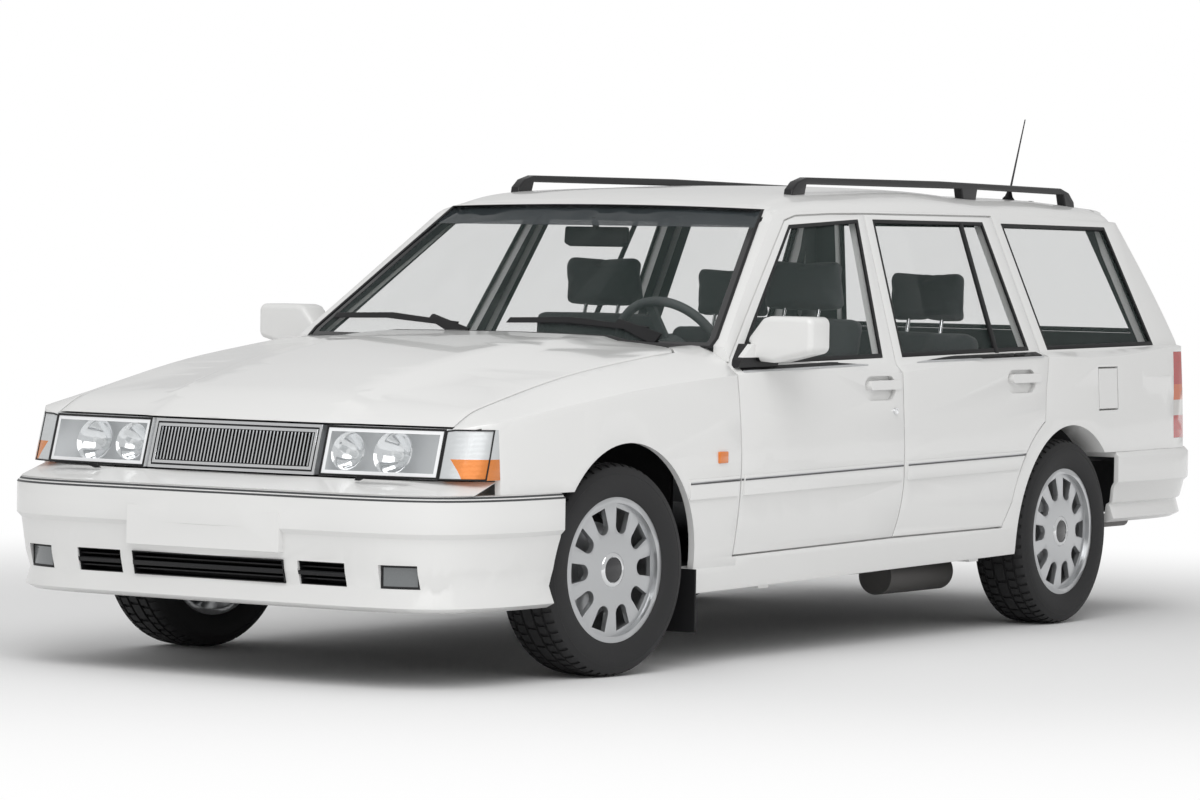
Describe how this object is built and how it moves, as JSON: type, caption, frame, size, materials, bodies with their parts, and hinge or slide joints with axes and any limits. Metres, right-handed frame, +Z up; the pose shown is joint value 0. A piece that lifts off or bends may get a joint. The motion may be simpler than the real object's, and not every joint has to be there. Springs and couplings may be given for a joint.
{
  "type": "station wagon",
  "caption": "Boxy white station wagon with opening doors, hood, tailgate and fuel flap, steered front wheels, roof rails and a furnished cabin.",
  "frame": {"origin": "on the ground, in the middle of the bounding box in plan", "axes": "+Z up, -Y towards the front, +X towards the car's left"},
  "size_m": [2.094, 4.86, 1.7236],
  "materials": {
    "paint": "gloss",
    "painted_plastic": "gloss",
    "underbody": "matte",
    "glass": "gloss",
    "lamp_glass": "gloss",
    "tail_glass": "gloss",
    "chrome": "polished",
    "black_plastic": "matte",
    "interior_plastic": "matte",
    "seat_fabric": "woven",
    "rubber": "matte",
    "tyre": "matte",
    "alloy": "satin",
    "steel": "satin",
    "cast": "matte",
    "black_metal": "satin"
  },
  "bodies": {
    "body": {"side_frame_left": "paint", "side_frame_right": "paint", "roof_panel": "paint", "floor_pan": "underbody", "engine_bay": "underbody", "front_fenders": "paint", "front_bumper": "painted_plastic", "rear_bumper": "painted_plastic", "grille": "chrome", "headlamps": "lamp_glass", "indicator_lamps": "lamp_glass", "fog_lamps": "lamp_glass", "tail_lamps": "tail_glass", "windscreen": "glass", "quarter_windows": "glass", "roof_rails": "black_metal", "antenna": "black_metal", "wipers": "black_plastic", "mud_flaps": "rubber", "dashboard": "interior_plastic", "seat_front_left": "seat_fabric", "seat_front_right": "seat_fabric", "rear_seat": "seat_fabric", "engine_block": "cast", "front_suspension": "steel", "rear_axle": "steel", "exhaust": "steel", "fuel_tank": "black_metal"},
    "door_front_left": {"door_front_left": "paint", "glass_front_left": "glass", "mirror_left": "painted_plastic"},
    "door_rear_left": {"door_rear_left": "paint", "glass_rear_left": "glass"},
    "door_front_right": {"door_front_right": "paint", "glass_front_right": "glass", "mirror_right": "painted_plastic"},
    "door_rear_right": {"door_rear_right": "paint", "glass_rear_right": "glass"},
    "hood": {"hood": "paint"},
    "tailgate": {"tailgate": "paint", "tailgate_glass": "glass"},
    "fuel_flap": {"fuel_flap": "paint"},
    "steering_wheel": {"steering_wheel": "black_plastic"},
    "knuckle_left": {"knuckle_left": "cast"},
    "knuckle_right": {"knuckle_right": "cast"},
    "wheel_front_left": {"tyre_front_left": "tyre", "rim_front_left": "alloy"},
    "wheel_front_right": {"tyre_front_right": "tyre", "rim_front_right": "alloy"},
    "wheel_rear_left": {"tyre_rear_left": "tyre", "rim_rear_left": "alloy"},
    "wheel_rear_right": {"tyre_rear_right": "tyre", "rim_rear_right": "alloy"}
  },
  "joints": [
    {"name": "door_front_left_hinge", "type": "hinge", "parent": "body", "child": "door_front_left", "pos_m": [0.8765, -0.912, 0.6], "axis": [0, 0, -1], "range_deg": [0, 68]},
    {"name": "door_rear_left_hinge", "type": "hinge", "parent": "body", "child": "door_rear_left", "pos_m": [0.8765, 0.061, 0.6], "axis": [0, 0, -1], "range_deg": [0, 68]},
    {"name": "door_front_right_hinge", "type": "hinge", "parent": "body", "child": "door_front_right", "pos_m": [-0.8765, -0.912, 0.6], "axis": [0, 0, 1], "range_deg": [0, 68]},
    {"name": "door_rear_right_hinge", "type": "hinge", "parent": "body", "child": "door_rear_right", "pos_m": [-0.8765, 0.061, 0.6], "axis": [0, 0, 1], "range_deg": [0, 68]},
    {"name": "hood_hinge", "type": "hinge", "parent": "body", "child": "hood", "pos_m": [0, -0.94, 0.998], "axis": [-1, 0, 0], "range_deg": [0, 50]},
    {"name": "tailgate_hinge", "type": "hinge", "parent": "body", "child": "tailgate", "pos_m": [0, 1.956, 1.433], "axis": [1, 0, 0], "range_deg": [0, 82]},
    {"name": "fuel_flap_hinge", "type": "hinge", "parent": "body", "child": "fuel_flap", "pos_m": [0.872, 1.4725, 0.797], "axis": [0, 0, -1], "range_deg": [0, 100]},
    {"name": "steering_wheel_turn", "type": "hinge", "parent": "body", "child": "steering_wheel", "pos_m": [0.39, -0.54, 0.925], "axis": [0, 0.8829, 0.4695], "range_deg": [-440, 681]},
    {"name": "kingpin_left", "type": "hinge", "parent": "body", "child": "knuckle_left", "pos_m": [0.672, -1.505, 0.3142], "axis": [-0.1908, 0, 0.9816], "range_deg": [-26.7, 41.3]},
    {"name": "wheel_front_left_spin", "type": "hinge", "parent": "knuckle_left", "child": "wheel_front_left", "pos_m": [0.74145, -1.51373, 0.31409], "axis": [0.9922, -0.1247, -0.0015], "continuous": true},
    {"name": "kingpin_right", "type": "hinge", "parent": "body", "child": "knuckle_right", "pos_m": [-0.672, -1.505, 0.3142], "axis": [0.1908, 0, 0.9816], "range_deg": [-26.7, 41.3]},
    {"name": "wheel_front_right_spin", "type": "hinge", "parent": "knuckle_right", "child": "wheel_front_right", "pos_m": [-0.74145, -1.49627, 0.31409], "axis": [0.9922, -0.1247, 0.0015], "continuous": true},
    {"name": "wheel_rear_left_spin", "type": "hinge", "parent": "body", "child": "wheel_rear_left", "pos_m": [0.75, 1.265, 0.3142], "axis": [1, 0, 0], "continuous": true},
    {"name": "wheel_rear_right_spin", "type": "hinge", "parent": "body", "child": "wheel_rear_right", "pos_m": [-0.75, 1.265, 0.3142], "axis": [1, 0, 0], "continuous": true}
  ],
  "couplings": [
    {"joint": "kingpin_left", "follows": "steering_wheel_turn", "ratio": 0.060606},
    {"joint": "kingpin_right", "follows": "steering_wheel_turn", "ratio": 0.060606}
  ]
}
